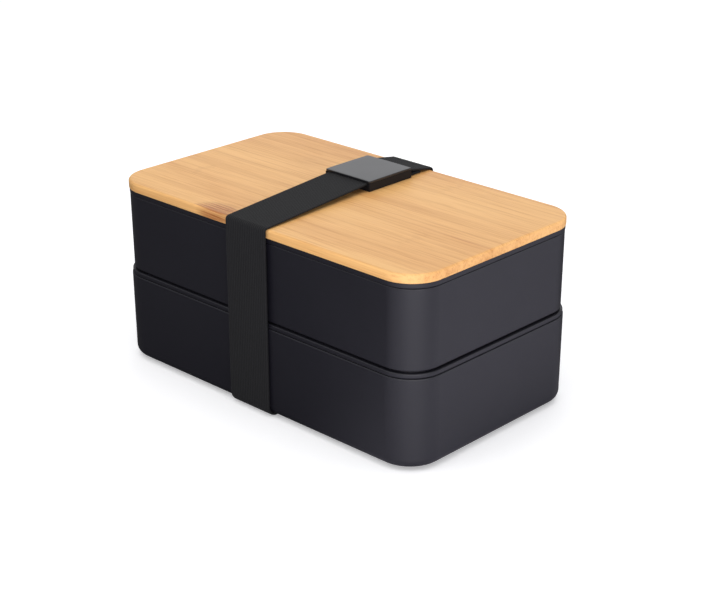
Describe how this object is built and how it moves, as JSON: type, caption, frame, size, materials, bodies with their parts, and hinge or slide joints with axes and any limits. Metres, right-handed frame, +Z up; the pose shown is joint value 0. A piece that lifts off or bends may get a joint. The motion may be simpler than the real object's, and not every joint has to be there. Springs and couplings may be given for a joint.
{
  "type": "bento lunch box",
  "caption": "Two-tier rectangular lunch box with a bamboo lid, an inner cutlery tray and a wide elastic strap with a flat buckle.",
  "frame": {"origin": "on the resting surface (the strap's underside), under the middle of the box", "axes": "+X along the long side, -Y to the front long side, +Z up"},
  "size_m": [0.186, 0.112, 0.0927],
  "materials": {
    "bamboo": "satin",
    "black_pp": "satin",
    "silicone": "matte",
    "elastic": "matte",
    "buckle_gloss": "glossy",
    "cutlery_pp": "satin"
  },
  "bodies": {
    "root": {"lower_tier": "black_pp", "strap_bottom": "elastic", "strap_front_1": "elastic", "strap_rear_1": "elastic"},
    "lower_partition": {"lower_divider": "black_pp"},
    "inner_lid": {"inner_lid": "black_pp", "inner_lid_seal": "silicone", "strap_front_2": "elastic", "strap_rear_2": "elastic"},
    "fork": {"fork": "cutlery_pp"},
    "knife": {"knife": "cutlery_pp"},
    "spoon": {"spoon": "cutlery_pp"},
    "upper_tier": {"upper_tier": "black_pp", "strap_front_3": "elastic", "strap_rear_3": "elastic"},
    "upper_partition": {"upper_divider": "black_pp"},
    "lid": {"lid_board": "bamboo", "lid_liner": "black_pp", "lid_seal": "silicone", "strap_front_4": "elastic", "strap_rear_4": "elastic"},
    "strap_top": {"strap_top_front": "elastic", "strap_top_rear": "elastic", "buckle_frame": "buckle_gloss", "buckle_cover": "buckle_gloss"}
  },
  "joints": [
    {"name": "inner_lid_lift", "type": "slide", "parent": "root", "child": "inner_lid", "axis": [0, 0, 1], "range_m": [0, 0.038], "deforming": ["strap_front_1", "strap_rear_1"]},
    {"name": "upper_tier_lift", "type": "slide", "parent": "inner_lid", "child": "upper_tier", "axis": [0, 0, 1], "range_m": [0, 0.05], "deforming": ["strap_front_2", "strap_rear_2"]},
    {"name": "lid_lift", "type": "slide", "parent": "upper_tier", "child": "lid", "axis": [0, 0, 1], "range_m": [0, 0.045], "deforming": ["strap_front_3", "strap_rear_3"]},
    {"name": "strap_pull", "type": "slide", "parent": "lid", "child": "strap_top", "axis": [0, 0, 1], "range_m": [0, 0.025], "stiffness_N_per_m": 150, "springref_m": -0.002, "deforming": ["strap_front_4", "strap_rear_4"]},
    {"name": "lower_divider_lift", "type": "slide", "parent": "root", "child": "lower_partition", "axis": [0, 0, 1], "range_m": [0, 0.034]},
    {"name": "upper_divider_lift", "type": "slide", "parent": "upper_tier", "child": "upper_partition", "axis": [0, 0, 1], "range_m": [0, 0.04]},
    {"name": "fork_lift", "type": "slide", "parent": "inner_lid", "child": "fork", "axis": [0, 0, 1], "range_m": [0, 0.028]},
    {"name": "knife_lift", "type": "slide", "parent": "inner_lid", "child": "knife", "axis": [0, 0, 1], "range_m": [0, 0.028]},
    {"name": "spoon_lift", "type": "slide", "parent": "inner_lid", "child": "spoon", "axis": [0, 0, 1], "range_m": [0, 0.028]}
  ],
  "couplings": [
    {"joint": "lower_divider_lift", "follows": "inner_lid_lift", "ratio": 0.85},
    {"joint": "upper_divider_lift", "follows": "lid_lift", "ratio": 0.85},
    {"joint": "fork_lift", "follows": "upper_tier_lift", "ratio": 0.5},
    {"joint": "knife_lift", "follows": "upper_tier_lift", "ratio": 0.5},
    {"joint": "spoon_lift", "follows": "upper_tier_lift", "ratio": 0.5}
  ]
}
